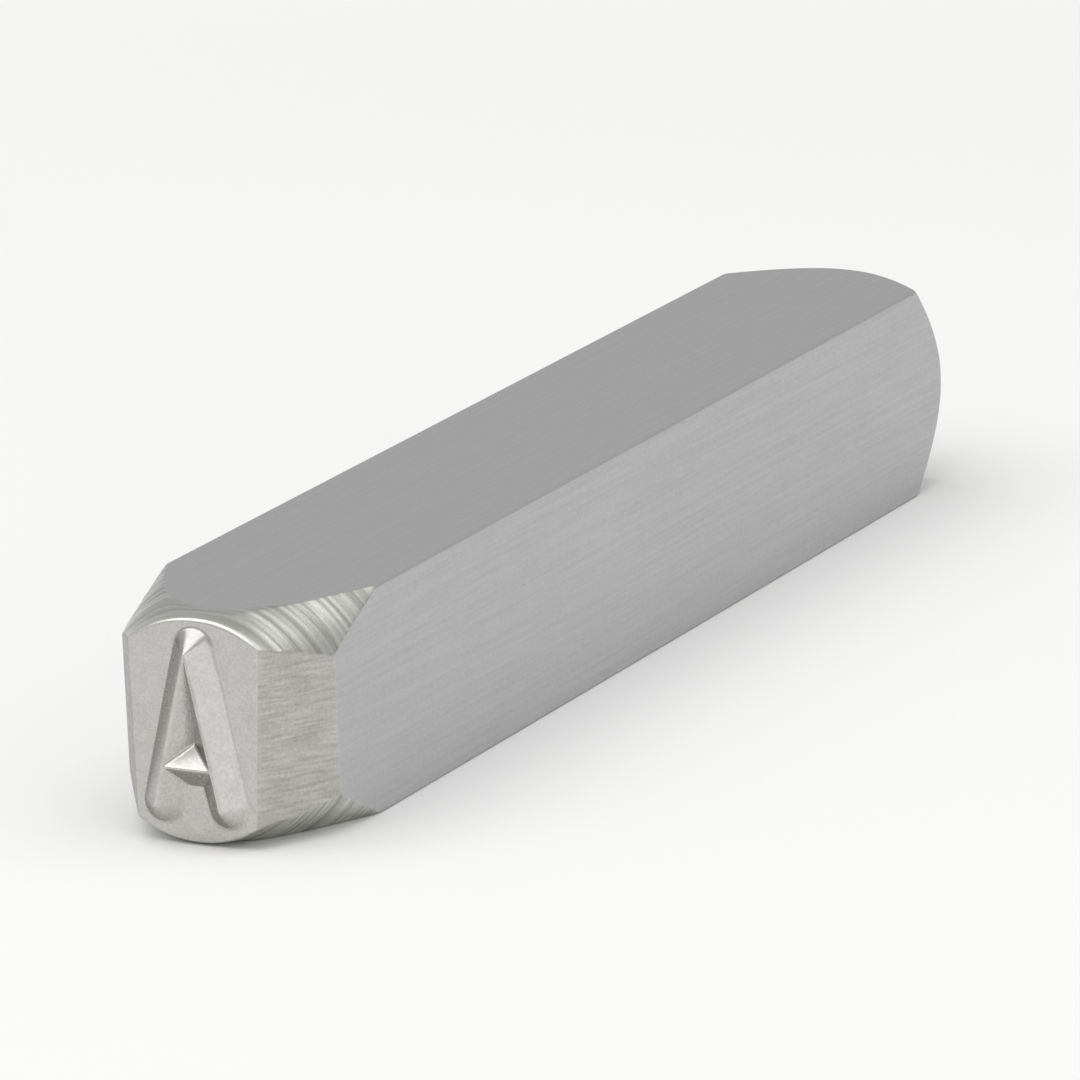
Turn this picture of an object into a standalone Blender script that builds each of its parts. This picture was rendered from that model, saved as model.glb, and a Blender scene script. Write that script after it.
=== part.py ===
"""Steel letter punch, built as the real one is made.

A length of square bar is turned at both ends, which takes off its corners in two cones. Two flats are
ground on the sides of the nose to narrow its face. The letter stands on that face as sharp ridges, as a
conical cutter leaves them in the die. The punch lies on one flat of its shank, along the Y axis, with
the lettered end at -Y. All sizes are in metres, and the floor is at z = 0.
"""

import math

import bmesh
import bpy
from mathutils import Matrix, Vector

MM = 0.001

# Driving sizes of the bar
SHANK_SIZE = 9.525 * MM
PUNCH_LENGTH = 66.0 * MM
EDGE_BREAK = 0.15 * MM

# Driving sizes of the turned nose and its ground side flats
NOSE_STEP = 0.12 * MM
NOSE_HALF_ANGLE = math.radians(16.5)
SIDE_MARGIN = 0.44 * MM
FLAT_ANGLE = math.radians(32.0)
FLAT_LEAN = math.radians(2.0)

# Driving sizes of the letter, whose width and bar are measured along the sharp crests of its strokes
LETTER_MARGIN = 0.38 * MM
LETTER_WIDTH = 2.90 * MM
BAR_HEIGHT = 1.65 * MM
RELIEF = 0.90 * MM
STROKE_HALF_BASE = 0.92 * MM
CREST_HALF_WIDTH = 0.04 * MM

# Driving sizes of the turned chamfer round the struck end
STRUCK_STEP = 0.46 * MM
STRUCK_HALF_ANGLE = math.radians(35.0)

# Places that follow from the driving sizes
HALF_SHANK = SHANK_SIZE / 2
AXIS_HEIGHT = HALF_SHANK
CORNER_RADIUS = HALF_SHANK * math.sqrt(2)
FACE_Y = -PUNCH_LENGTH / 2 + RELIEF
STRUCK_Y = PUNCH_LENGTH / 2
FACE_RADIUS = HALF_SHANK - NOSE_STEP
STRUCK_RADIUS = HALF_SHANK - STRUCK_STEP

# The flats leave the side margin beside the feet, at the height of the punch's axis
FACE_WIDTH = LETTER_WIDTH + 2 * (STROKE_HALF_BASE + SIDE_MARGIN)
# The crests end on a circle that leaves the letter margin between the strokes and the face's round edge
CREST_RADIUS = FACE_RADIUS - LETTER_MARGIN - STROKE_HALF_BASE
APEX_Z = CREST_RADIUS
FOOT_X = LETTER_WIDTH / 2
FOOT_Z = -math.sqrt(CREST_RADIUS**2 - FOOT_X**2)
BAR_Z = FOOT_Z + BAR_HEIGHT
BAR_X = FOOT_X * (APEX_Z - BAR_Z) / (APEX_Z - FOOT_Z)

# How far a cutter reaches past the metal that it takes off
OVERRUN = 2.0 * MM
# How deep the root of a stroke runs into the nose
STROKE_ROOT = 0.25 * MM

# A corner of the bar, at 45 degrees, meets the middle of a facet with this number of steps
TURNING_STEPS = 140
STROKE_END_STEPS = 40
EDGE_BREAK_STEPS = 2
SMOOTH_ANGLE = math.radians(20.0)
# Faces closer than this angle are one flat face
FLATNESS = math.radians(0.05)

STEEL_COLOUR = (0.50, 0.49, 0.48, 1.0)
STEEL_ROUGHNESS = 0.42


def clear_scene():
    """Take away everything that the scene starts with."""
    for obj in list(bpy.data.objects):
        bpy.data.objects.remove(obj, do_unlink=True)


def new_collection(name):
    """Return a new collection of the scene."""
    collection = bpy.data.collections.new(name)
    bpy.context.scene.collection.children.link(collection)
    return collection


def steel_material():
    """Return the plain satin steel of the punch."""
    material = bpy.data.materials.new("satin_tool_steel")
    material.use_nodes = True
    shader = material.node_tree.nodes["Principled BSDF"]
    shader.inputs["Base Color"].default_value = STEEL_COLOUR
    shader.inputs["Metallic"].default_value = 1.0
    shader.inputs["Roughness"].default_value = STEEL_ROUGHNESS
    return material


def new_object(name, bm, collection):
    """Turn a bmesh into an object of a collection."""
    bmesh.ops.recalc_face_normals(bm, faces=bm.faces)
    mesh = bpy.data.meshes.new(name)
    bm.to_mesh(mesh)
    bm.free()
    obj = bpy.data.objects.new(name, mesh)
    collection.objects.link(obj)
    return obj


def mark_as_cutter(obj):
    """Keep an object for Boolean work only."""
    obj.hide_render = True
    obj.display_type = "WIRE"
    return obj


def add_box(bm, size, place=Matrix.Identity(4)):
    """Add a box with its full sizes along X, Y and Z."""
    bmesh.ops.create_cube(bm, size=1.0, matrix=place @ Matrix.Diagonal((*size, 1.0)))


def square_bar(collection):
    """Return the square bar, cut to length, with its four long edges broken."""
    bm = bmesh.new()
    length = STRUCK_Y - FACE_Y
    centre = Matrix.Translation((0.0, (STRUCK_Y + FACE_Y) / 2, AXIS_HEIGHT))
    add_box(bm, (SHANK_SIZE, length, SHANK_SIZE), centre)
    long_edges = [edge for edge in bm.edges if abs(edge.verts[0].co.y - edge.verts[1].co.y) > length / 2]
    bmesh.ops.bevel(
        bm, geom=long_edges, offset=EDGE_BREAK, segments=EDGE_BREAK_STEPS, profile=0.5, affect="EDGES"
    )
    return new_object("letter_punch", bm, collection)


def turned_envelope(collection):
    """Return the round shape that both ends of the bar are turned to, a profile spun round its axis."""
    full_radius = CORNER_RADIUS + OVERRUN
    nose_slope = math.tan(NOSE_HALF_ANGLE)
    struck_slope = math.tan(STRUCK_HALF_ANGLE)
    profile = [
        (0.0, FACE_Y - OVERRUN),
        (FACE_RADIUS - OVERRUN * nose_slope, FACE_Y - OVERRUN),
        (full_radius, FACE_Y + (full_radius - FACE_RADIUS) / nose_slope),
        (full_radius, STRUCK_Y - (full_radius - STRUCK_RADIUS) / struck_slope),
        (STRUCK_RADIUS - OVERRUN * struck_slope, STRUCK_Y + OVERRUN),
        (0.0, STRUCK_Y + OVERRUN),
    ]
    bm = bmesh.new()
    verts = [bm.verts.new((radius, 0.0, -y)) for radius, y in profile]
    for upper, lower in zip(verts, verts[1:]):
        bm.edges.new((upper, lower))
    mesh = bpy.data.meshes.new("turned_envelope")
    bm.to_mesh(mesh)
    bm.free()
    envelope = bpy.data.objects.new("turned_envelope", mesh)
    collection.objects.link(envelope)
    envelope.location = (0.0, 0.0, AXIS_HEIGHT)
    envelope.rotation_euler = (math.radians(90.0), 0.0, 0.0)
    spin = envelope.modifiers.new("spin", "SCREW")
    spin.axis = "Z"
    spin.angle = math.radians(360.0)
    spin.steps = TURNING_STEPS
    spin.render_steps = TURNING_STEPS
    spin.use_merge_vertices = True
    spin.merge_threshold = 1e-6
    return mark_as_cutter(envelope)


def side_flat_cutter(side, collection):
    """Return the block that grinds one side flat, which runs from the face's edge back to the shank.

    The two flats lean towards each other at the foot of the letter, so the face is narrower there.
    """
    reach = SHANK_SIZE + 2 * OVERRUN
    turn = Matrix.Rotation(side * FLAT_LEAN, 4, "Y") @ Matrix.Rotation(-side * FLAT_ANGLE, 4, "Z")
    edge_of_face = Vector((side * FACE_WIDTH / 2, FACE_Y, AXIS_HEIGHT))
    outward = turn @ Vector((side, 0.0, 0.0))
    centre = edge_of_face + outward * reach / 2
    bm = bmesh.new()
    add_box(bm, (reach, 2 * reach, reach), Matrix.Translation(centre) @ turn)
    name = "right_flat_cutter" if side > 0 else "left_flat_cutter"
    return mark_as_cutter(new_object(name, bm, collection))


def stroke_ridge(name, start, end, collection):
    """Return one stroke of the letter.

    It is the hull of two equal cones that stand on the face, one at each end of the stroke. So it has a
    sharp crest, two sloping flanks and round ends. The start and end are (x, z) places of the crest,
    measured from the axis of the punch.
    """
    growth = (STROKE_HALF_BASE - CREST_HALF_WIDTH) / RELIEF
    root_radius = STROKE_HALF_BASE + growth * STROKE_ROOT
    depth = RELIEF + STROKE_ROOT
    stand = Matrix.Rotation(math.radians(90.0), 4, "X")
    bm = bmesh.new()
    for x, z in (start, end):
        centre = Vector((x, FACE_Y + STROKE_ROOT - depth / 2, AXIS_HEIGHT + z))
        bmesh.ops.create_cone(
            bm,
            cap_ends=True,
            segments=STROKE_END_STEPS,
            radius1=root_radius,
            radius2=CREST_HALF_WIDTH,
            depth=depth,
            matrix=Matrix.Translation(centre) @ stand,
        )
    bmesh.ops.delete(bm, geom=bm.edges[:], context="EDGES_FACES")
    bmesh.ops.convex_hull(bm, input=bm.verts[:])
    bmesh.ops.dissolve_limit(bm, angle_limit=FLATNESS, verts=bm.verts[:], edges=bm.edges[:])
    return mark_as_cutter(new_object(name, bm, collection))


def letter_strokes(collection):
    """Return the three strokes of the letter A: two legs from one apex, and the bar between them."""
    return [
        stroke_ridge("left_leg", (0.0, APEX_Z), (-FOOT_X, FOOT_Z), collection),
        stroke_ridge("right_leg", (0.0, APEX_Z), (FOOT_X, FOOT_Z), collection),
        stroke_ridge("cross_bar", (-BAR_X, BAR_Z), (BAR_X, BAR_Z), collection),
    ]


def add_boolean(target, cutter, operation):
    """Cut, trim or join the target with another object."""
    modifier = target.modifiers.new(cutter.name, "BOOLEAN")
    modifier.operation = operation
    modifier.solver = "EXACT"
    modifier.object = cutter


def finish_piece(obj, material):
    """Fix the worked shape of a piece, shade its round faces smooth and give it its material."""
    depsgraph = bpy.context.evaluated_depsgraph_get()
    worked = bpy.data.meshes.new_from_object(obj.evaluated_get(depsgraph))
    worked.name = obj.name
    obj.modifiers.clear()
    obj.data = worked
    worked.shade_smooth()
    worked.set_sharp_from_angle(angle=SMOOTH_ANGLE)
    worked.materials.clear()
    worked.materials.append(material)


def build():
    """Build the punch, one solid piece."""
    clear_scene()
    product = new_collection("steel_letter_punch")
    cutters = new_collection("cutters")
    punch = square_bar(product)
    add_boolean(punch, turned_envelope(cutters), "INTERSECT")
    for side in (-1, 1):
        add_boolean(punch, side_flat_cutter(side, cutters), "DIFFERENCE")
    for stroke in letter_strokes(cutters):
        add_boolean(punch, stroke, "UNION")
    finish_piece(punch, steel_material())


build()
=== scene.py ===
"""Looks of the steel letter punch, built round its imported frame.

The real punch is one piece of tool steel, so here it is one closed mesh, and it stands for the one CAD
node. Its surface is a distance from the punch's axis, worked out from the turn round the axis and the
place along it. The lettered end is closed by a grid that carries the relief of the letter. All sizes are
in metres, unless a name ends in mm. The punch lies along Y with the letter at -Y, on the floor at
z = 0.
"""
import logging
import math
from dataclasses import dataclass, field
from enum import Enum

import bpy
import numpy as np
from mathutils import Matrix, Vector


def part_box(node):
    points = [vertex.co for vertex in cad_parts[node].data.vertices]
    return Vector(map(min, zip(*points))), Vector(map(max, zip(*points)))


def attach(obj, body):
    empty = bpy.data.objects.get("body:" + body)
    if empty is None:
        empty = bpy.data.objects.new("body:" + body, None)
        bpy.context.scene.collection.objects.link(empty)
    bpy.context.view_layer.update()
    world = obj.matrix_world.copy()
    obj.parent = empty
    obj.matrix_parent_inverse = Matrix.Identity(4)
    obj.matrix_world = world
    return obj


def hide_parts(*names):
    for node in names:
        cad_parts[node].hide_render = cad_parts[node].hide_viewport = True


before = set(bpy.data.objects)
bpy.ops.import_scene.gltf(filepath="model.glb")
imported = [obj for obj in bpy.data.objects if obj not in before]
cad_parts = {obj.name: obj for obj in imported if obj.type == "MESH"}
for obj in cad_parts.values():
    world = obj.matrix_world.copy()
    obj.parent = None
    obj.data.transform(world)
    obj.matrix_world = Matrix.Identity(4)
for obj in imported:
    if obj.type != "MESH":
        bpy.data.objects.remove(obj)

LOG = logging.getLogger("letter_punch")
Array = np.ndarray
Socket = bpy.types.NodeSocket
Pair = tuple[float, float]

MM = 0.001
MICRON = 1e-6
NODE = "letter_punch"
# The overall sizes come from the frame
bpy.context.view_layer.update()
CAD_LOW, CAD_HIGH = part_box(NODE)
HALF_WIDTH = (CAD_HIGH.z - CAD_LOW.z) / 2
AXIS_HEIGHT = CAD_LOW.z + HALF_WIDTH
# The letter's crests stand this far over the face
RELIEF = 0.90 * MM
FACE_Y = CAD_LOW.y + RELIEF
STRUCK_Y = CAD_HIGH.y


def cosine_steps(cells: int) -> Array:
    """Return steps from 0 to 1 that lie closest together at both ends.

    Args:
        cells: How many cells lie between the steps.

    Returns:
        Half of one minus the cosine of even steps over half a turn.
    """
    return (1.0 - np.cos(np.linspace(0.0, np.pi, cells + 1))) / 2.0


def smooth_step(value: Array) -> Array:
    """Return 0 below 0, 1 above 1, and three squares less two cubes of the value between."""
    held = np.clip(value, 0.0, 1.0)
    return held * held * (3.0 - 2.0 * held)


def fade_in(value: Array, start: float, span: float) -> Array:
    """Return 0 up to the start, 1 from one span past it on, and a smooth step between."""
    return smooth_step((value - start) / span)


def soft_least(first: Array, second: Array, softness: Array | float) -> Array:
    """Return the lesser of two surfaces, with the edge between them softened.

    Args:
        first: One distance.
        second: The other distance.
        softness: Width of the softened edge.

    Returns:
        Half of their sum less the root of their squared difference plus the squared softness.
    """
    return (first + second - np.sqrt((first - second) ** 2 + softness**2)) / 2.0


def soft_most(first: Array, second: Array | float, softness: Array | float) -> Array:
    """Return the greater of two heights, with the valley between them softened in the same way."""
    return (first + second + np.sqrt((first - second) ** 2 + softness**2)) / 2.0


def add_object(name: str, data: bpy.types.ID) -> bpy.types.Object:
    """Add an object that shows a mesh, a lamp or a camera to the scene.

    Args:
        name: Its name.
        data: What it shows.

    Returns:
        The new object.
    """
    added = bpy.data.objects.new(name, data)
    bpy.context.scene.collection.objects.link(added)
    return added


@dataclass(frozen=True)
class SquareBar:
    """The square bar that the punch is cut from, with its long edges broken."""

    half: float = HALF_WIDTH
    edge_break: float = 0.15 * MM

    @property
    def break_start(self) -> float:
        """Angle from the middle of a flat at which its broken edge begins."""
        return math.atan2(self.half - self.edge_break, self.half)

    def reach(self, turn: Array) -> Array:
        """Return the distance from the axis to the bar's surface.

        On a flat it is the half width over the cosine of the angle from the flat's middle. On a broken
        edge it is the far crossing of a small circle, whose centre lies on the diagonal.

        Args:
            turn: Angle from the upper flat's middle.

        Returns:
            The distance at each angle.
        """
        eighth = math.pi / 4
        off_flat = np.abs((turn + eighth) % (2 * eighth) - eighth)
        flat = self.half / np.cos(off_flat)
        centre = (self.half - self.edge_break) * math.sqrt(2)
        off_diagonal = eighth - off_flat
        under_root = self.edge_break**2 - (centre * np.sin(off_diagonal)) ** 2
        broken = centre * np.cos(off_diagonal) + np.sqrt(np.maximum(under_root, 0.0))
        return np.where(off_flat < self.break_start, flat, broken)


@dataclass(frozen=True)
class TurnedCone:
    """A cone that the lathe left on one end of the bar, with the feed marks of its tool.

    Inward is 1 where the cone grows towards +Y and -1 where it grows towards -Y.
    """

    tip_y: float
    inward: float
    tip_radius: float
    half_angle: float
    feed: float
    mark_depth: float
    # How far the marks are shifted, in marks, and at which paces, in radians a mark
    wander: float = 0.16
    quick_pace: float = 2.1
    slow_pace: float = 0.83
    slow_start: float = 1.0
    # How the marks swell and fade round their mean depth, and at which pace
    swell_mean: float = 0.60
    swell_share: float = 0.40
    swell_pace: float = 0.95

    def radius(self, y: Array) -> Array:
        """Return the cone's radius, which grows evenly from its tip."""
        return self.tip_radius + self.inward * (y - self.tip_y) * math.tan(self.half_angle)

    def marks(self, y: Array) -> Array:
        """Return how deep the feed marks lie below the cone.

        They are a squared sine along the cone. A slower pair of sines shifts them and another one makes
        them swell and fade, as a slack lathe does.

        Args:
            y: Place along the punch.

        Returns:
            The depth at each place.
        """
        along = self.inward * (y - self.tip_y) / self.feed
        quick = np.sin(self.quick_pace * along)
        slow = np.sin(self.slow_pace * along + self.slow_start)
        wander = self.wander * quick + self.wander * slow
        swell = self.swell_mean - self.swell_share * np.cos(self.swell_pace * along)
        return self.mark_depth * swell * np.sin(np.pi * (along + wander)) ** 2


@dataclass(frozen=True)
class SideFlats:
    """The two flats ground on the sides of the nose, which lean towards each other at the foot."""

    half_face: float = 2.81 * MM
    angle: float = math.radians(32.0)
    lean: float = math.radians(2.0)
    # These keep divisions within bounds at angles where a flat isn't met
    least_towards: float = 1e-3
    least_sine: float = 0.5

    @property
    def normal(self) -> tuple[float, float, float]:
        """Outward direction of the flat on the right."""
        flat = math.cos(self.angle)
        return flat * math.cos(self.lean), -math.sin(self.angle), -flat * math.sin(self.lean)

    def reach(self, turn: Array, y: Array) -> Array:
        """Return the distance from the axis to the ground flats.

        A point lies on a flat where its dot product with the flat's normal is the flat's own distance.

        Args:
            turn: Angle from the upper flat's middle.
            y: Place along the punch.

        Returns:
            The distance, far out where the flat isn't met.
        """
        nx, ny, nz = self.normal
        towards = nx * np.abs(np.sin(turn)) + nz * np.cos(turn)
        distance = nx * self.half_face - ny * (y - FACE_Y)
        return distance / np.maximum(towards, self.least_towards)

    def meets_cone(self, y: Array, radius: Array) -> tuple[Array, Array]:
        """Return the two angles at which a circle round the axis crosses the right flat.

        Each is an arc sine of the flat's distance over the radius, turned by the flat's own tilt.

        Args:
            y: Places of the circles along the punch.
            radius: Their radii.

        Returns:
            The upper and the lower angle of each circle.
        """
        nx, ny, nz = self.normal
        distance = nx * self.half_face - ny * (y - FACE_Y)
        sine = np.clip(distance / (math.hypot(nx, nz) * radius), -1.0, 1.0)
        tilt = math.atan2(nz, nx)
        return np.arcsin(sine) - tilt, np.pi - np.arcsin(sine) - tilt

    def far_edge(self, turn: Array, half_bar: float) -> Array:
        """Return the place along the punch at which the flat runs out on the bar's side.

        It is where the flat's plane meets the side's, at the height that the angle gives on the side.

        Args:
            turn: Angle from the upper flat's middle.
            half_bar: Half the bar's width.

        Returns:
            The place at each angle.
        """
        nx, ny, nz = self.normal
        height = half_bar * np.cos(turn) / np.maximum(np.abs(np.sin(turn)), self.least_sine)
        return FACE_Y + (nx * (half_bar - self.half_face) + nz * height) / -ny


@dataclass(frozen=True)
class Letter:
    """The raised letter A: three strokes with sharp crests, even slopes and round ends."""

    crest_radius: float = 3.3425 * MM
    width: float = 2.90 * MM
    bar_height: float = 1.65 * MM
    half_base: float = 0.92 * MM
    crest_half_width: float = 0.04 * MM
    crest_round: float = 0.035 * MM
    valley_round: float = 0.04 * MM
    # The cross bar's valley fades out over this distance from a leg's crest
    between_fade: float = 0.10 * MM
    # Shares of the relief where the crests' wear and painted highlight begin, and over which they come in
    crest_highlight_span: Pair = (0.90, 0.10)

    @property
    def apex(self) -> float:
        """Height of the apex over the axis."""
        return self.crest_radius

    @property
    def foot_x(self) -> float:
        """Distance of a foot from the middle."""
        return self.width / 2

    @property
    def foot(self) -> float:
        """Height of the feet over the axis, on the same circle as the apex."""
        return -math.sqrt(self.crest_radius**2 - self.foot_x**2)

    @property
    def bar(self) -> float:
        """Height of the cross bar over the axis."""
        return self.foot + self.bar_height

    @property
    def bar_x(self) -> float:
        """Distance of the cross bar's ends from the middle."""
        return self.leg_x(self.bar)

    @property
    def leg_half_base(self) -> float:
        """Half the width of a leg's base, measured level."""
        rise = self.apex - self.foot
        return self.half_base * math.hypot(rise, self.foot_x) / rise

    def leg_x(self, height: Array | float) -> Array | float:
        """Return a leg's distance from the middle at a height."""
        return self.foot_x * (self.apex - height) / (self.apex - self.foot)

    def stroke_rise(self, x: Array, height: Array, start: Pair, end: Pair) -> Array:
        """Return how high one stroke stands over the face.

        The nearest point of the crest line is found by a held projection. The height falls evenly with
        the distance from it, and a hyperbola rounds the crest.

        Args:
            x: Distances from the middle.
            height: Heights over the axis.
            start: First end of the crest.
            end: Second end of the crest.

        Returns:
            The height, below zero outside the stroke's base.
        """
        run = np.array(end) - np.array(start)
        share = ((x - start[0]) * run[0] + (height - start[1]) * run[1]) / float(run @ run)
        share = np.clip(share, 0.0, 1.0)
        off = np.hypot(x - start[0] - share * run[0], height - start[1] - share * run[1])
        slope = RELIEF / (self.half_base - self.crest_half_width)
        return RELIEF - slope * (np.hypot(off, self.crest_round) - self.crest_round)

    def rise(self, x: Array, height: Array) -> Array:
        """Return how high the letter stands over the face.

        It is the greatest of the three strokes and the face, with the valleys softened.

        Args:
            x: Distances from the middle.
            height: Heights over the axis.

        Returns:
            The height at each point, from zero to the relief.
        """
        apex = (0.0, self.apex)
        total = self.stroke_rise(x, height, apex, (-self.foot_x, self.foot))
        right = self.stroke_rise(x, height, apex, (self.foot_x, self.foot))
        cross = self.stroke_rise(x, height, (-self.bar_x, self.bar), (self.bar_x, self.bar))
        total = np.maximum(total, right)
        between_legs = smooth_step((self.leg_x(height) - np.abs(x)) / self.between_fade)
        total = soft_most(total, cross, self.valley_round / 2 * between_legs)
        return np.minimum(soft_most(total, 0.0, self.valley_round), RELIEF)

    def crest_wear_and_highlight(self, x: Array, height: Array) -> Array:
        """Return 1 on the worn crests with their painted highlight, and 0 where the letter stands lower.
        """
        return fade_in(self.rise(x, height) / RELIEF, *self.crest_highlight_span)


class Work(Enum):
    """How each part of the surface was worked, which is also the order of the mesh's materials."""

    BAR = 0
    GROUND = 1
    PRESSED = 2
    FACED = 3


@dataclass
class PunchBody:
    """The punch's whole surface, one closed mesh."""

    bar: SquareBar = SquareBar()
    nose: TurnedCone = TurnedCone(
        tip_y=FACE_Y,
        inward=1.0,
        tip_radius=HALF_WIDTH - 0.12 * MM,
        half_angle=math.radians(16.5),
        feed=0.50 * MM,
        mark_depth=19 * MICRON,
    )
    butt: TurnedCone = TurnedCone(
        tip_y=STRUCK_Y,
        inward=-1.0,
        tip_radius=HALF_WIDTH - 0.46 * MM,
        half_angle=math.radians(35.0),
        feed=0.40 * MM,
        mark_depth=8 * MICRON,
    )
    flats: SideFlats = SideFlats()
    letter: Letter = Letter()
    edge_softness: float = 0.03 * MM
    # The nose cone runs out softly on the middle of the upper and lower flats, from this cosine on
    run_out_softness: float = 0.10 * MM
    run_out_span: Pair = (0.90, 0.10)
    # The rim of the face is rounded most over the letter's apex, from this cosine on
    rim_upper: float = 0.13 * MM
    rim_lower: float = 0.06 * MM
    rim_side: float = 0.03 * MM
    rim_span: Pair = (0.78, 0.12)
    butt_rim: float = 0.10 * MM
    # The nose cone is a little hollow behind the face's rim, which the photo shows as a darker band
    hollow_y: float = FACE_Y + 0.85 * MM
    hollow_width: float = 0.45 * MM
    hollow_depth: float = 55 * MICRON
    # The tool skimmed the middle of the upper and lower flats a little past the cone, from this cosine
    # on and as far as this from the face, and there the turned skin's edge is softer
    skim_depth: float = 0.22 * MM
    skim_span: Pair = (0.82, 0.18)
    skim_length: float = 8.0 * MM
    skim_end: float = 1.0 * MM
    turned_edge: float = 0.04 * MM
    skim_edge: float = 0.12 * MM
    # Wear and a painted highlight on the face's rim die away over this length
    rim_wear_and_highlight: float = 0.10 * MM
    # Cells of the face: across a leg from the middle, and up from the lower to the upper rim. A span of
    # few cells is divided evenly.
    leg_cells: tuple[int, int, int] = (20, 14, 12)
    row_cells: tuple[int, ...] = (18, 3, 13, 14, 14, 46, 4, 20)
    few_cells: int = 4
    # Where the face's columns go: least distance from the middle, spread over the apex, gap to the side
    least_crest: float = 0.20 * MM
    apex_spread: float = 0.5
    side_gap: float = 0.12 * MM
    # Where the face's rows begin to bow into the round outline, past the feet and the apex
    foot_gap: float = 0.15 * MM
    apex_gap: float = 0.10 * MM
    # Cells of the rings, and the least half angle that they leave an upper or lower flat
    flat_cells: int = 24
    cone_cells: int = 22
    least_flat: float = math.radians(7.0)
    # Rings along the punch, and the lengths from each end over which they lie closer
    rim_rings: int = 4
    nose_rings: int = 100
    shank_rings: int = 10
    butt_rings: int = 36
    nose_length: float = 7.15 * MM
    butt_length: float = 3.60 * MM
    first_gap: float = 0.03 * MM
    # Rings on both sides of the ground flats' far edge, in millimetres. Rings within this length of it
    # are bent onto it, from this sine of the turn on.
    edge_rings_mm: tuple[float, ...] = (-0.05, -0.02, 0.0, 0.02, 0.05)
    lean_length: float = 1.5 * MM
    lean_span: Pair = (0.35, 0.45)
    # Behind the face the rings' angles change over this length from the border's to the edges' own
    turn_length: float = 0.55 * MM
    # Radii of the struck end's inner rings, as shares of its flat's radius
    cap_shares: tuple[float, ...] = (0.97, 0.75, 0.50, 0.25)

    def envelope(self, y: Array) -> Array:
        """Return the radius that both ends are turned to, the lesser of the two cones."""
        return np.minimum(self.nose.radius(y), self.butt.radius(y))

    def reach(self, turn: Array, y: Array) -> Array:
        """Return the distance from the axis to the finished surface.

        It is the least of the bar, the side flats and the two cones with their feed marks, each edge
        softened. The hollow behind the rim is a bell curve along the punch.

        Args:
            turn: Angles from the upper flat's middle.
            y: Places along the punch.

        Returns:
            The distance at each point.
        """
        upright = fade_in(np.abs(np.cos(turn)), *self.run_out_span)
        softness = self.edge_softness + self.run_out_softness * upright
        hollow = self.hollow_depth * np.exp(-(((y - self.hollow_y) / self.hollow_width) ** 2))
        nose = self.nose.radius(y) - self.nose.marks(y) - hollow
        butt = self.butt.radius(y) - self.butt.marks(y)
        square = soft_least(self.bar.reach(turn), self.flats.reach(turn, y), self.edge_softness)
        return soft_least(soft_least(square, nose, softness), butt, self.edge_softness)

    def rim(self, turn: Array) -> Array:
        """Return the radius of the rounded rim of the face.

        It grows from the side's to the upper and the lower one by a smooth step of the cosine.

        Args:
            turn: Angles from the upper flat's middle.

        Returns:
            The radius at each angle.
        """
        upper = fade_in(np.cos(turn), *self.rim_span)
        lower = fade_in(-np.cos(turn), *self.rim_span)
        side_and_upper = self.rim_side + (self.rim_upper - self.rim_side) * upper
        return side_and_upper + (self.rim_lower - self.rim_side) * lower

    def corner_turns(self, y: Array) -> tuple[Array, Array, Array, Array]:
        """Return the angles of the edges that cross each ring, down the right half.

        Args:
            y: Places of the rings along the punch.

        Returns:
            Where the upper flat ends, where the side begins and ends, and where the lower flat begins.
        """
        radius = self.envelope(y)
        start = self.bar.break_start
        off_flat = np.arccos(np.clip(self.bar.half / radius, -1.0, 1.0))
        off_flat = np.clip(off_flat, self.least_flat, start)
        shank = np.arcsin(np.clip(self.bar.half / radius, -1.0, 1.0))
        shank = np.maximum(shank, np.pi / 2 - start)
        upper, lower = self.flats.meets_cone(y, radius)
        return off_flat, np.minimum(shank, upper), np.maximum(np.pi - shank, lower), np.pi - off_flat

    def face_reach(self, turn: Array) -> Array:
        """Return the distance from the axis to the face's flat outline, inside its rounded rim."""
        return self.reach(turn, np.full_like(turn, FACE_Y)) - self.rim(turn)

    def face_levels(self) -> tuple[Array, Array, Array]:
        """Return the rows of the face's grid.

        The rows lie closest at the letter's feet, cross bar and apex. Above the apex and below the feet
        they bow into the round outline, so their ends are squeezed between the letter and the corners.

        Returns:
            The rows' heights over the axis at their middle, those at their ends, and the four heights
            of the outline: its lower middle, lower corner, upper corner and upper middle.
        """
        letter = self.letter
        _, upper_turn, lower_turn, _ = self.corner_turns(np.array([FACE_Y]))
        marks = np.array([np.pi, lower_turn[0], upper_turn[0], 0.0])
        outline = self.face_reach(marks) * np.cos(marks)
        low_bow, high_bow = letter.foot - self.foot_gap, letter.apex + self.apex_gap
        low_bar, high_bar = letter.bar - letter.half_base, letter.bar + letter.half_base
        levels = (outline[0], low_bow, letter.foot, low_bar, letter.bar, high_bar, letter.apex, high_bow)
        ends = levels[1:] + (outline[3],)
        spans = []
        for first, last, cells in zip(levels, ends, self.row_cells):
            steps = cosine_steps(cells) if cells > self.few_cells else np.linspace(0, 1, cells + 1)
            spans.append(first + (last - first) * steps[:-1])
        middle = np.concatenate(spans + [outline[3:]])
        known = (outline[0], low_bow, high_bow, outline[3])
        squeezed = (outline[1], low_bow, high_bow, outline[2])
        return middle, np.interp(middle, known, squeezed), outline

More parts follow.
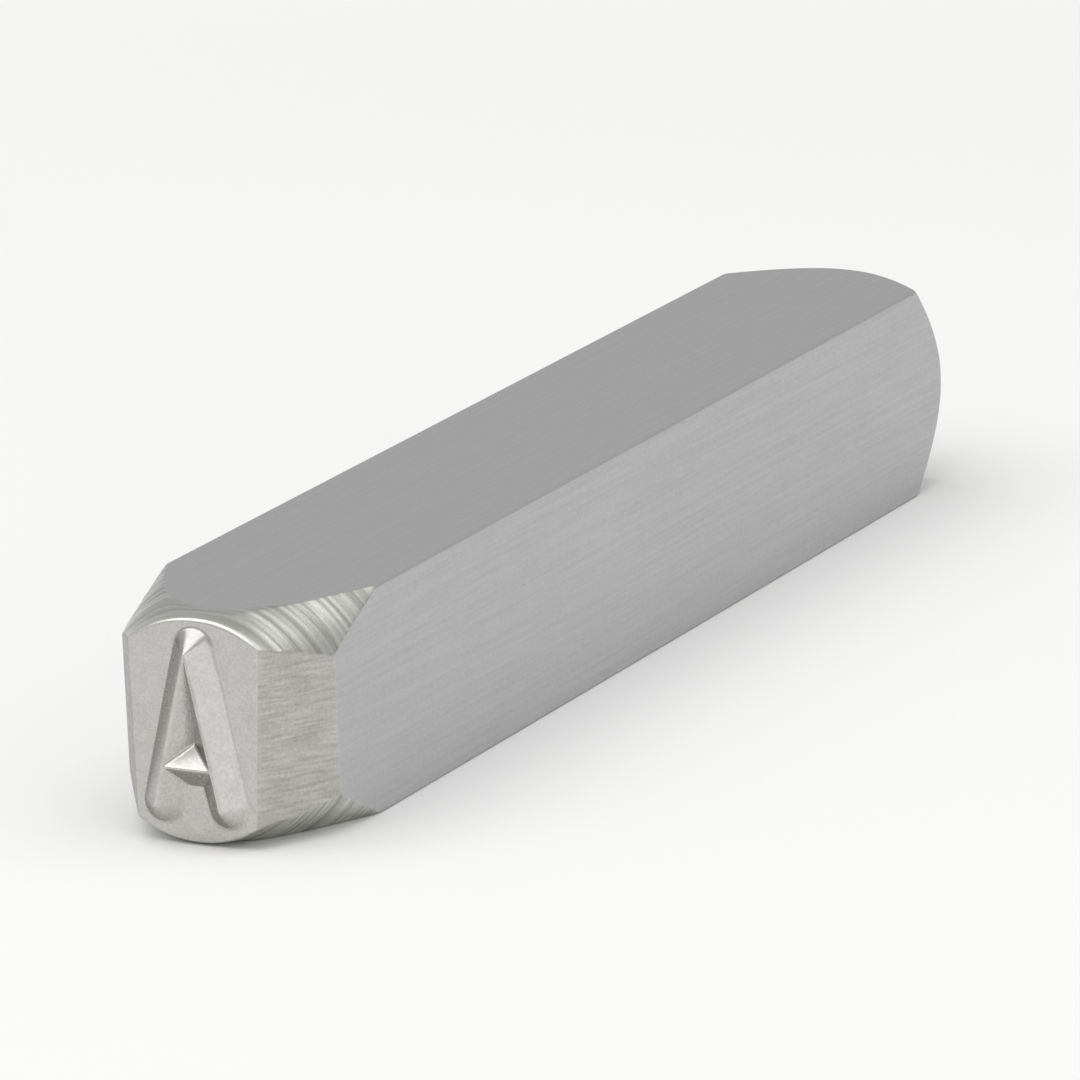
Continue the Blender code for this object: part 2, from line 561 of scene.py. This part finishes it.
    def face_grid(self) -> tuple[Array, Array]:
        """Return the face's grid of points, whose columns keep to the crests and bases of the legs.

        A row's bow is the height of the outline's circle over its corners, as a share of its height in
        the middle.

        Returns:
            The points' distances from the middle and heights over the axis, by row and column.
        """
        letter = self.letter
        middle, end, outline = self.face_levels()
        crest = np.clip(letter.leg_x(middle), self.least_crest, letter.foot_x)
        crest = (crest + self.apex_spread * np.maximum(middle - letter.apex, 0.0))[:, None]
        side = (self.flats.half_face + math.tan(self.flats.lean) * end - self.rim_side)[:, None]
        base = np.minimum(crest + letter.leg_half_base, side - self.side_gap)
        inner, slope, outer = (cosine_steps(cells) for cells in self.leg_cells)
        half = np.concatenate(
            [crest * inner, crest + (base - crest) * slope[1:], base + (side - base) * outer[1:]], axis=1
        )
        x = np.concatenate([-half[:, :0:-1], half], axis=1)
        low_middle, low_corner, high_corner, high_middle = outline
        over = np.sqrt(np.maximum(high_middle**2 - x**2, 0.0)) - high_corner
        under = np.sqrt(np.maximum(low_middle**2 - x**2, 0.0)) + low_corner
        upper, lower = over / (high_middle - high_corner), under / (low_corner - low_middle)
        share = np.clip(np.where((middle > 0.0)[:, None], upper, lower), 0.0, 1.0)
        height = end[:, None] + (middle - end)[:, None] * share
        return x, height

    def rim_order(self, grid: Array) -> Array:
        """Return the face's border in ring order, from the top's middle round by the right side.

        Args:
            grid: The face's points by row and column, each by its number.

        Returns:
            The numbers of the border's points.
        """
        half = grid.shape[1] // 2
        right, left = (grid[-1, half:], grid[-2::-1, -1]), (grid[1:, 0], grid[-1, 1:half])
        return np.concatenate([*right, grid[0, -2::-1], *left])

    def level_edge(self) -> float:
        """Return the place of the ground flats' far edge at the height of the axis."""
        return self.flats.far_edge(np.array([np.pi / 2]), self.bar.half)[0]

    def ring_places(self) -> Array:
        """Return the rings' places along the punch.

        They are even over the nose, over the shank and over the struck end, with a few more where the
        ground flats' far edge crosses them.

        Returns:
            The places in order, from behind the face's rim to the struck end's rim.
        """
        nose_start = FACE_Y + max(self.rim_upper, self.rim_lower) + self.first_gap
        nose_end = FACE_Y + self.nose_length
        butt_start = STRUCK_Y - self.butt_length
        butt_end = STRUCK_Y - self.butt_rim
        near_edge = self.level_edge() + np.array(self.edge_rings_mm) * MM
        nose = np.linspace(nose_start, nose_end, self.nose_rings)
        shank = np.linspace(nose_end, butt_start, self.shank_rings)[1:-1]
        butt = np.linspace(butt_start, butt_end, self.butt_rings)
        return np.sort(np.concatenate([nose, near_edge, shank, butt]))

    def ring_turns(self, places: Array, rim: Array) -> Array:
        """Return the angles of each ring's points.

        Behind the face they shift from the border's own angles to ones that keep to the edges between
        the cone, the flats and the sides.

        Args:
            places: The rings' places along the punch.
            rim: The border's angles, from the top's middle round by the right side.

        Returns:
            The angles by ring and column.
        """
        flat, cone = cosine_steps(self.flat_cells), cosine_steps(self.cone_cells)
        side = cosine_steps(sum(self.row_cells))
        top, upper, lower, bottom = (turn[:, None] for turn in self.corner_turns(places))
        half = np.concatenate(
            [
                top * flat,
                top + (upper - top) * cone[1:],
                upper + (lower - upper) * side[1:],
                lower + (bottom - lower) * cone[1:],
                bottom + (np.pi - bottom) * flat[1:],
            ],
            axis=1,
        )
        edges = np.concatenate([half, 2 * np.pi - half[:, -2:0:-1]], axis=1)
        share = smooth_step((places - places[0]) / self.turn_length)[:, None]
        return rim + (edges - rim) * share

    def lean_rings(self, places: Array, turns: Array) -> Array:
        """Return each ring point's place, with the nearest rings bent onto the ground flats' far edge.

        The shift is the edge's own, less the further a ring is from it, and none on the upper and lower
        flats.

        Args:
            places: The rings' places along the punch.
            turns: The angles by ring and column.

        Returns:
            The places by ring and column.
        """
        straight = self.level_edge()
        near = np.clip(1.0 - np.abs(places - straight) / self.lean_length, 0.0, 1.0)[:, None]
        sideways = fade_in(np.abs(np.sin(turns)), *self.lean_span)
        shift = self.flats.far_edge(turns, self.bar.half) - straight
        return places[:, None] + near * sideways * shift

    def fit_border(self, x: Array, height: Array, border: Array) -> Array:
        """Move the grid's border onto the face's outline, each point along its own angle.

        Args:
            x: The grid's distances from the middle, changed in place.
            height: Its heights over the axis, changed in place.
            border: The numbers of the border's points, in ring order.

        Returns:
            The angles of the border's points.
        """
        turns = np.arctan2(x.flat[border], height.flat[border]) % (2 * np.pi)
        reach = self.face_reach(turns)
        x.flat[border] = reach * np.sin(turns)
        height.flat[border] = reach * np.cos(turns)
        return turns

    def body_rings(self, rim_turns: Array) -> tuple[Array, Array, Array]:
        """Return every ring of the body, from the face's rim back to the struck end's flat.

        The two rims are quarter circles, and the struck end's flat is closed by ever smaller rings.

        Args:
            rim_turns: The angles of the face's border.

        Returns:
            The angles, the places along the punch and the distances from the axis, by ring and column.
        """
        rim = self.rim(rim_turns)
        bend = np.linspace(0.0, np.pi / 2, self.rim_rings + 1)[1:, None]
        rim_y = FACE_Y + rim * (1.0 - np.cos(bend))
        rim_r = self.reach(rim_turns, rim_y) - rim * (1.0 - np.sin(bend))
        places = self.ring_places()
        turns = self.ring_turns(places, rim_turns)
        ring_y = self.lean_rings(places, turns)
        ring_r = self.reach(turns, ring_y)
        end_bend = np.linspace(np.pi / 2, 0.0, self.rim_rings + 1)[1:, None]
        end_turns = turns[-1]
        end_y = np.tile(STRUCK_Y - self.butt_rim * (1.0 - np.cos(end_bend)), (1, end_turns.size))
        end_r = self.reach(end_turns, end_y) - self.butt_rim * (1.0 - np.sin(end_bend))
        cap_r = end_r[-1] * np.array(self.cap_shares)[:, None]
        rim_rows = np.tile(rim_turns, (len(rim_y), 1))
        end_rows = np.tile(end_turns, (len(end_y) + len(cap_r), 1))
        all_turns = np.concatenate([rim_rows, turns, end_rows])
        all_y = np.concatenate([rim_y, ring_y, end_y, np.full_like(cap_r, STRUCK_Y)])
        return all_turns, all_y, np.concatenate([rim_r, ring_r, end_r, cap_r])

    def surface(self) -> tuple[Array, Array, Array, Array]:
        """Work out the whole closed surface.

        Returns:
            The points, the four-sided faces, the three-sided faces, and the turned share and the share of
            wear and painted highlight of each point as two columns.
        """
        x, height = self.face_grid()
        index = np.arange(x.size).reshape(x.shape)
        border = self.rim_order(index)
        turns, y, reach = self.body_rings(self.fit_border(x, height, border))
        rise = self.letter.rise(x, height)
        face = np.stack([x, FACE_Y - rise, height + AXIS_HEIGHT], axis=-1).reshape(-1, 3)
        body = np.stack([reach * np.sin(turns), y, reach * np.cos(turns) + AXIS_HEIGHT], axis=-1)
        points = np.concatenate([face, body.reshape(-1, 3), [[0.0, STRUCK_Y, AXIS_HEIGHT]]])

        rings = np.concatenate([border[None, :], len(face) + np.arange(y.size).reshape(y.shape)])
        closed = np.concatenate([rings, rings[:, :1]], axis=1)
        quads = np.concatenate([self.cells(index), self.cells(closed)])
        pole = np.full(rings.shape[1], len(points) - 1)
        fan = np.stack([closed[-1, :-1], closed[-1, 1:], pole], axis=-1)
        pole_shares = [[1.0, 0.0]]
        shares = np.concatenate([self.face_shares(x, height), self.body_shares(turns, y), pole_shares])
        return points, quads, fan, shares

    @staticmethod
    def cells(index: Array) -> Array:
        """Return the four corners of each cell between neighbouring rows and columns."""
        corners = (index[:-1, :-1], index[:-1, 1:], index[1:, 1:], index[1:, :-1])
        return np.stack(corners, axis=-1).reshape(-1, 4)

    def face_shares(self, x: Array, height: Array) -> Array:
        """Return the turned share, none, and the share of wear and painted highlight, on the crests."""
        wear_and_highlight = self.letter.crest_wear_and_highlight(x, height).ravel()
        return np.stack([np.zeros_like(wear_and_highlight), wear_and_highlight], axis=-1)

    def body_shares(self, turns: Array, y: Array) -> Array:
        """Return the turned share and the share of wear and painted highlight of the points round the
        body.

        A point is turned where the cones lie under the bar, and a little way past them on the middle of
        the upper and lower flats, which the tool skimmed. It is worn and painted lighter, as a highlight,
        where two surfaces lie within an edge's softness of each other, and near the face's rim.

        Args:
            turns: Angles round the axis.
            y: Places along the punch.

        Returns:
            The two shares, a row for each point.
        """
        radius = self.envelope(y)
        square, flats = self.bar.reach(turns), self.flats.reach(turns, y)
        middle = fade_in(np.abs(np.cos(turns)), *self.skim_span)
        near_face = smooth_step((FACE_Y + self.skim_length - y) / self.skim_end)
        cut = np.minimum(square, flats) - radius + self.skim_depth * middle * near_face
        turned = smooth_step(0.5 + cut / (self.turned_edge + self.skim_edge * middle))
        gap = np.minimum(np.abs(np.minimum(square, flats) - radius), np.abs(square - flats))
        # Edges and the face's rim are worn and carry a painted highlight
        wear_and_highlight = (1.0 - middle) * self.edge_softness**2 / (gap**2 + self.edge_softness**2)
        rim = np.exp(-np.maximum(y - FACE_Y, 0.0) / self.rim_wear_and_highlight)
        return np.stack([turned.ravel(), np.maximum(wear_and_highlight, rim).ravel()], axis=-1)

    def work_of(self, points: Array, quads: Array, face_cells: int) -> Array:
        """Return the material index of each four-sided face, from how its middle was worked.

        Args:
            points: All points of the mesh.
            quads: The four corners of each face, by their numbers.
            face_cells: How many of them, the first ones, belong to the lettered face.

        Returns:
            The index of each face.
        """
        centre = points[quads].mean(axis=1)
        turn = np.arctan2(centre[:, 0], centre[:, 2] - AXIS_HEIGHT)
        y = centre[:, 1]
        square, flats, radius = self.bar.reach(turn), self.flats.reach(turn, y), self.envelope(y)
        ground = (flats < square) & (flats < radius)
        work = np.where(ground, Work.GROUND.value, Work.BAR.value)
        work[y > STRUCK_Y - self.butt_rim / 2] = Work.FACED.value
        work[:face_cells] = Work.PRESSED.value
        return work

    def build(self) -> bpy.types.Object:
        """Build the punch's mesh and dress it.

        Returns:
            The new object.
        """
        points, quads, fan, shares = self.surface()
        face_cells = 2 * sum(self.leg_cells) * sum(self.row_cells)
        struck = np.full(len(fan), Work.FACED.value)
        work = np.concatenate([self.work_of(points, quads, face_cells), struck])
        mesh = bpy.data.meshes.new("steel_punch")
        mesh.from_pydata(points.tolist(), [], quads.tolist() + fan.tolist())
        mesh.shade_smooth()
        for way in Work:
            mesh.materials.append(STEELS[way].material())
        mesh.polygons.foreach_set("material_index", work)
        for column, name in enumerate((TURNED_SHARE, WEAR_AND_HIGHLIGHT_SHARE)):
            attribute = mesh.attributes.new(name, "FLOAT", "POINT")
            attribute.data.foreach_set("value", shares[:, column])
        mesh.update()
        return add_object("steel_punch", mesh)


def linear(code: str) -> tuple[float, float, float, float]:
    """Return the linear colour of an sRGB hex code, by the sRGB standard's own curve.

    Args:
        code: Six hex digits after a hash.

    Returns:
        Red, green, blue and an alpha of 1.
    """
    shares = [int(code[place : place + 2], 16) / 255.0 for place in (1, 3, 5)]
    lit = [share / 12.92 if share <= 0.04045 else ((share + 0.055) / 1.055) ** 2.4 for share in shares]
    return lit[0], lit[1], lit[2], 1.0


def add_node(
    tree: bpy.types.NodeTree, kind: str, inputs: dict | None = None, **settings: object
) -> bpy.types.Node:
    """Add a node with its settings, values and links.

    Args:
        tree: The node tree.
        kind: The node's type.
        inputs: A value or another node's socket for each named or numbered input.
        settings: The node's own settings.

    Returns:
        The new node.
    """
    node = tree.nodes.new(kind)
    for name, value in settings.items():
        setattr(node, name, value)
    for socket, value in (inputs or {}).items():
        if isinstance(value, bpy.types.NodeSocket):
            tree.links.new(value, node.inputs[socket])
        else:
            node.inputs[socket].default_value = value
    return node


TURNED_SHARE = "turned"
# Share of wear and painted highlight, on edges, crests and the face's rim
WEAR_AND_HIGHLIGHT_SHARE = "wear_and_highlight"
# A Mix node's colour inputs and output, by their places, because others there have the same names
MIX_FACTOR, MIX_FIRST, MIX_SECOND, MIX_RESULT = 0, 6, 7, 2
# Share of a finish's tone that drifts slowly over the piece, and the size of a patch
CLOUD_SHARE = 0.10
CLOUD_SIZE = 1.8 * MM
# A noise seldom leaves the middle of its range, so that is stretched over the whole tone, and for the
# patches of wear and painted highlight a little more
NOISE_SPAN = {"From Min": 0.30, "From Max": 0.70}
PATCH_SPAN = {"From Min": 0.36, "From Max": 0.64}


@dataclass(frozen=True)
class Finish:
    """How one way of working left the steel's skin.

    Marks are long where they run and close across: marks_mm is their size along X, Y and Z, or from
    the axis outwards where they run round it. Grain is the fine even texture under them. The tone of
    the skin is the sum of marks, grain and slow clouds, and the lighter it is, the smoother.
    """

    light: str
    dark: str
    smoothest: float
    roughest: float
    marks_mm: tuple[float, float, float]
    mark_relief: float
    grain_mm: float
    grain_relief: float
    mark_share: float = 0.40
    round_axis: bool = False

    def paint(self, tree: bpy.types.NodeTree, place: Socket) -> tuple[Socket, Socket, Socket]:
        """Add the nodes of this finish.

        Args:
            tree: The material's node tree.
            place: Object coordinates, centred on the axis.

        Returns:
            The sockets of its colour, roughness and height.
        """
        if self.round_axis:
            level = {0: place, 1: (1.0, 0.0, 1.0)}
            flat = add_node(tree, "ShaderNodeVectorMath", level, operation="MULTIPLY").outputs[0]
            far = add_node(tree, "ShaderNodeVectorMath", {0: flat}, operation="LENGTH").outputs["Value"]
            place = add_node(tree, "ShaderNodeCombineXYZ", {"X": far}).outputs[0]
        scale = tuple(1.0 / (spacing * MM) for spacing in self.marks_mm)
        sized = {0: place, 1: scale}
        stretched = add_node(tree, "ShaderNodeVectorMath", sized, operation="MULTIPLY").outputs[0]
        grain_share = 1.0 - self.mark_share - CLOUD_SHARE
        noises = (
            (self.mark_share, {"Vector": stretched, "Scale": 1.0, "Detail": 2.0, "Roughness": 0.55}),
            (grain_share, {"Vector": place, "Scale": 1.0 / (self.grain_mm * MM), "Detail": 3.0}),
            (CLOUD_SHARE, {"Vector": place, "Scale": 1.0 / CLOUD_SIZE}),
        )
        tone = 0.0
        layers = []
        for share, values in noises:
            noise = add_node(tree, "ShaderNodeTexNoise", values).outputs[0]
            layers.append(add_node(tree, "ShaderNodeMapRange", {"Value": noise, **NOISE_SPAN}).outputs[0])
            sums = {0: layers[-1], 1: share, 2: tone}
            tone = add_node(tree, "ShaderNodeMath", sums, operation="MULTIPLY_ADD").outputs[0]
        colours = {MIX_FACTOR: tone, MIX_FIRST: linear(self.dark), MIX_SECOND: linear(self.light)}
        colour = add_node(tree, "ShaderNodeMix", colours, data_type="RGBA").outputs[MIX_RESULT]
        ends = {"Value": tone, "To Min": self.roughest, "To Max": self.smoothest}
        roughness = add_node(tree, "ShaderNodeMapRange", ends).outputs[0]
        marks = {0: layers[0], 1: self.mark_relief}
        high = add_node(tree, "ShaderNodeMath", marks, operation="MULTIPLY").outputs[0]
        grain = {0: layers[1], 1: self.grain_relief, 2: high}
        height = add_node(tree, "ShaderNodeMath", grain, operation="MULTIPLY_ADD").outputs[0]
        return colour, roughness, height


# Drawn and heat treated: a dull even skin with fine pits, so it looks matt and a little blue. Real draw
# lines and pits, of about 0.02 mm, are drawn five to eight times coarser, to show.
DRAWN = Finish(
    light="#c5c5c6",
    dark="#b8b8ba",
    smoothest=0.42,
    roughest=0.54,
    marks_mm=(0.16, 9.0, 0.16),
    mark_relief=0.5 * MICRON,
    grain_mm=0.11,
    grain_relief=1.6 * MICRON,
)
# Turned: bright rings round the axis, so it looks lighter and banded. The fine lines within a feed mark,
# of about 0.03 mm, are drawn about seven times coarser, to show.
TURNED = Finish(
    light="#e0e0da",
    dark="#949490",
    smoothest=0.28,
    roughest=0.44,
    marks_mm=(6.0, 0.22, 6.0),
    mark_relief=2.5 * MICRON,
    grain_mm=0.10,
    grain_relief=0.8 * MICRON,
    mark_share=0.72,
)
# Ground: fine lines along the flat, so it looks brushed. Real lines, of about 0.02 mm, are drawn about
# seven times coarser, to show.
GROUND = Finish(
    light="#cac7c3",
    dark="#a09d99",
    smoothest=0.34,
    roughest=0.46,
    marks_mm=(1.5, 1.5, 0.15),
    mark_relief=2.2 * MICRON,
    grain_mm=0.13,
    grain_relief=1.2 * MICRON,
    mark_share=0.55,
)
# Pressed from a die and tumbled: smooth and satin with a faint mottle, so it looks soft and even. Real
# grain, of about 0.03 mm, is drawn about four times coarser, to show.
PRESSED = Finish(
    light="#cccac7",
    dark="#b8b6b3",
    smoothest=0.23,
    roughest=0.31,
    marks_mm=(0.6, 0.6, 0.6),
    mark_relief=0.8 * MICRON,
    grain_mm=0.13,
    grain_relief=0.5 * MICRON,
    mark_share=0.30,
)
# Faced in the lathe: rings round the middle of the struck end, so it looks lightly ringed. Real lines,
# of about 0.05 mm, are drawn three times coarser, to show.
FACED = Finish(
    light="#c6c4bd",
    dark="#a6a49d",
    smoothest=0.32,
    roughest=0.46,
    marks_mm=(0.16, 1.0, 1.0),
    mark_relief=2.5 * MICRON,
    grain_mm=0.10,
    grain_relief=0.8 * MICRON,
    mark_share=0.60,
    round_axis=True,
)


@dataclass(frozen=True)
class ToolSteel:
    """Hardened tool steel under one finish, with a second one where the mesh's turned share is."""

    name: str
    finish: Finish
    turned: Finish | None = None
    # Rubbed edges and crests are painted this lighter colour, partly wear and partly a painted highlight
    wear_and_highlight_colour: str = "#d0cfca"
    # Steel mirrors less than white at a grazing angle, which keeps the letter's far flanks dark
    grazing_colour: str = "#e0e0e0"
    rubbed_roughness: float = 0.26
    wear_and_highlight_strength: float = 0.28
    wear_and_highlight_patch: float = 0.40 * MM

    def material(self) -> bpy.types.Material:
        """Add the material, a bare metal whose rubbed edges are smoother and painted lighter as a
        highlight.

        Returns:
            The new material.
        """
        material = bpy.data.materials.new(self.name)
        material.use_nodes = True
        tree = material.node_tree
        shader = tree.nodes["Principled BSDF"]
        shader.inputs["Metallic"].default_value = 1.0
        shader.inputs["Specular Tint"].default_value = linear(self.grazing_colour)
        coordinates = add_node(tree, "ShaderNodeTexCoord").outputs["Object"]
        centred = {"Vector": coordinates, "Location": (0.0, 0.0, -AXIS_HEIGHT)}
        place = add_node(tree, "ShaderNodeMapping", centred).outputs[0]
        colour, roughness, height = self.finish.paint(tree, place)
        if self.turned:
            share = add_node(tree, "ShaderNodeAttribute", attribute_name=TURNED_SHARE).outputs["Fac"]
            turned_colour, turned_roughness, turned_height = self.turned.paint(tree, place)
            colours = {MIX_FACTOR: share, MIX_FIRST: colour, MIX_SECOND: turned_colour}
            colour = add_node(tree, "ShaderNodeMix", colours, data_type="RGBA").outputs[MIX_RESULT]
            both = {"Factor": share, "A": roughness, "B": turned_roughness}
            roughness = add_node(tree, "ShaderNodeMix", both).outputs[0]
            both = {"Factor": share, "A": height, "B": turned_height}
            height = add_node(tree, "ShaderNodeMix", both).outputs[0]
        # Rubbed edges, crests and rim: smoother, and painted lighter as a highlight
        wear_and_highlight = add_node(tree, "ShaderNodeAttribute", attribute_name=WEAR_AND_HIGHLIGHT_SHARE).outputs["Fac"]
        patches = {"Vector": place, "Scale": 1.0 / self.wear_and_highlight_patch}
        patchy = add_node(tree, "ShaderNodeTexNoise", patches).outputs[0]
        spread = {"Value": patchy, **PATCH_SPAN, "To Max": self.wear_and_highlight_strength}
        strength = add_node(tree, "ShaderNodeMapRange", spread).outputs[0]
        wear = {0: wear_and_highlight, 1: strength}
        wear_and_highlight_mix = add_node(tree, "ShaderNodeMath", wear, operation="MULTIPLY").outputs[0]
        edge = {MIX_FACTOR: wear_and_highlight_mix, MIX_FIRST: colour, MIX_SECOND: linear(self.wear_and_highlight_colour)}
        colour = add_node(tree, "ShaderNodeMix", edge, data_type="RGBA").outputs[MIX_RESULT]
        edge = {"Factor": wear_and_highlight_mix, "A": roughness, "B": self.rubbed_roughness}
        roughness = add_node(tree, "ShaderNodeMix", edge).outputs[0]
        bump = add_node(tree, "ShaderNodeBump", {"Height": height, "Distance": 1.0, "Strength": 1.0})
        tree.links.new(colour, shader.inputs["Base Color"])
        tree.links.new(roughness, shader.inputs["Roughness"])
        tree.links.new(bump.outputs["Normal"], shader.inputs["Normal"])
        return material


# The hardened steel of each worked surface, under the finish that it was left with
STEELS = {
    Work.BAR: ToolSteel("drawn_and_turned_tool_steel", DRAWN, TURNED, grazing_colour="#ffffff"),
    Work.GROUND: ToolSteel("ground_tool_steel", GROUND),
    # The letter's crests are worn, and painted much lighter as a highlight
    Work.PRESSED: ToolSteel(
        "pressed_tool_steel", PRESSED, wear_and_highlight_strength=0.85, wear_and_highlight_patch=0.9 * MM
    ),
    Work.FACED: ToolSteel("faced_tool_steel", FACED),
}


@dataclass(frozen=True)
class SoftLamp:
    """A soft box over the table: where it stands, seen from the punch, its size and its power."""

    name: str
    direction: tuple[float, float, float]
    distance: float
    size: float
    power: float

    def build(self, target: Vector) -> None:
        """Add the lamp, turned towards the punch.

        Args:
            target: The place that it shines at.
        """
        light = bpy.data.lights.new(self.name, "AREA")
        light.size, light.energy = self.size, self.power
        lamp = add_object(self.name, light)
        away = Vector(self.direction).normalized()
        lamp.location = target + away * self.distance
        lamp.rotation_euler = away.to_track_quat("Z", "Y").to_euler()


@dataclass
class Studio:
    """A pale table, soft light and the camera at the photograph's viewing angle.

    The view's width is that of the frame at the punch's middle, so the lens is the sensor's width times
    the distance over it.
    """

    azimuth: float = math.radians(25.6)
    elevation: float = math.radians(14.7)
    roll: float = math.radians(-1.1)
    distance: float = 0.430
    view_width: float = 46.0 * MM
    sensor: float = 36.0
    clip_start: float = 0.01
    clip_end: float = 20.0
    target: Vector = field(default_factory=lambda: Vector((0.0, 0.0, AXIS_HEIGHT)))
    floor_half: float = 3.0
    floor_colour: str = "#f9f9f8"
    floor_roughness: float = 0.9
    # The board is seen to fade to plain white between these distances from the punch's middle
    fade_start: float = 0.09
    fade_end: float = 0.30
    # Level of the surround as light, and as the metal mirrors it
    surround_level: float = 0.50
    mirrored_level: float = 0.56
    lamps: tuple[SoftLamp, ...] = (
        SoftLamp("overhead_panel", (-0.20, -0.38, 0.90), 0.70, 0.90, 3.3),
        SoftLamp("key_softbox", (0.42, 0.22, 0.88), 0.70, 0.42, 0.48),
        SoftLamp("right_softbox", (0.95, -0.45, 0.35), 0.80, 0.55, 0.65),
    )

    def board(self) -> bpy.types.Material:
        """Add the matt board, which eye and metal see fade to plain white far from the punch.

        Returns:
            The new material.
        """
        material = bpy.data.materials.new("matt_white_board")
        material.use_nodes = True
        tree = material.node_tree
        shader = tree.nodes["Principled BSDF"]
        shader.inputs["Base Color"].default_value = linear(self.floor_colour)
        shader.inputs["Roughness"].default_value = self.floor_roughness
        shader.inputs["Specular IOR Level"].default_value = 0.0
        place = add_node(tree, "ShaderNodeTexCoord").outputs["Object"]
        away = add_node(tree, "ShaderNodeVectorMath", {0: place}, operation="LENGTH").outputs["Value"]
        span = {"Value": away, "From Min": self.fade_start, "From Max": self.fade_end}
        fade = add_node(tree, "ShaderNodeMapRange", span, interpolation_type="SMOOTHSTEP").outputs[0]
        path = add_node(tree, "ShaderNodeLightPath").outputs
        seen = path["Is Camera Ray"]
        for ray in ("Is Glossy Ray", "Is Transmission Ray"):
            either = {0: seen, 1: path[ray]}
            seen = add_node(tree, "ShaderNodeMath", either, operation="MAXIMUM").outputs[0]
        share = add_node(tree, "ShaderNodeMath", {0: fade, 1: seen}, operation="MULTIPLY").outputs[0]
        white = add_node(tree, "ShaderNodeEmission").outputs[0]
        both = {0: share, 1: shader.outputs[0], 2: white}
        seen_board = add_node(tree, "ShaderNodeMixShader", both).outputs[0]
        tree.links.new(seen_board, tree.nodes["Material Output"].inputs["Surface"])
        return material

    def floor(self) -> bpy.types.Object:
        """Add the table top, a plain pale sheet that keeps the punch's shadow.

        Returns:
            The new object.
        """
        corner = self.floor_half
        mesh = bpy.data.meshes.new("table_top")
        mesh.from_pydata(
            [(-corner, -corner, 0), (corner, -corner, 0), (corner, corner, 0), (-corner, corner, 0)],
            [],
            [(0, 1, 2, 3)],
        )
        mesh.materials.append(self.board())
        table = add_object("table_top", mesh)
        return table

    def world(self) -> None:
        """Set an even surround: the camera sees it as white, and the metal mirrors it as pale grey."""
        world = bpy.data.worlds.new("soft_surround")
        world.use_nodes = True
        tree = world.node_tree
        path = add_node(tree, "ShaderNodeLightPath").outputs
        mirrored = {"Factor": path["Is Glossy Ray"], "A": self.surround_level, "B": self.mirrored_level}
        level = add_node(tree, "ShaderNodeMix", mirrored).outputs[0]
        seen = {"Factor": path["Is Camera Ray"], "A": level, "B": 1.0}
        level = add_node(tree, "ShaderNodeMix", seen).outputs[0]
        background = tree.nodes["Background"]
        background.inputs["Color"].default_value = linear("#ffffff")
        tree.links.new(level, background.inputs["Strength"])
        bpy.context.scene.world = world

    def camera(self) -> None:
        """Add the camera, which looks at the punch's middle with a long lens."""
        lens = bpy.data.cameras.new("camera")
        lens.sensor_width = self.sensor
        lens.lens = self.sensor * self.distance / self.view_width
        lens.clip_start, lens.clip_end = self.clip_start, self.clip_end
        camera = add_object("camera", lens)
        level = math.cos(self.elevation)
        towards = Vector(
            (math.sin(self.azimuth) * level, -math.cos(self.azimuth) * level, math.sin(self.elevation))
        )
        turn = towards.to_track_quat("Z", "Y").to_matrix() @ Matrix.Rotation(self.roll, 3, "Z")
        camera.location = self.target + towards * self.distance
        camera.rotation_euler = turn.to_euler()
        bpy.context.scene.camera = camera

    def build(self) -> bpy.types.Object:
        """Add the lamps, the surround, the camera and the table top.

        Returns:
            The table top.
        """
        for lamp in self.lamps:
            lamp.build(self.target)
        self.world()
        self.camera()
        bpy.context.scene.view_settings.view_transform = "Standard"
        return self.floor()


def main() -> None:
    """Build the punch and the studio in order, and report each piece."""
    logging.basicConfig(level=logging.INFO, format="%(name)s: %(message)s")
    studio = Studio()
    table = studio.build()
    LOG.info("%s: %.1f m wide", table.name, 2 * studio.floor_half)
    punch = PunchBody().build()
    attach(punch, "root")
    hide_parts(NODE)
    LOG.info("%s: %d points, %d faces", punch.name, len(punch.data.vertices), len(punch.data.polygons))


if __name__ == "__main__":
    main()
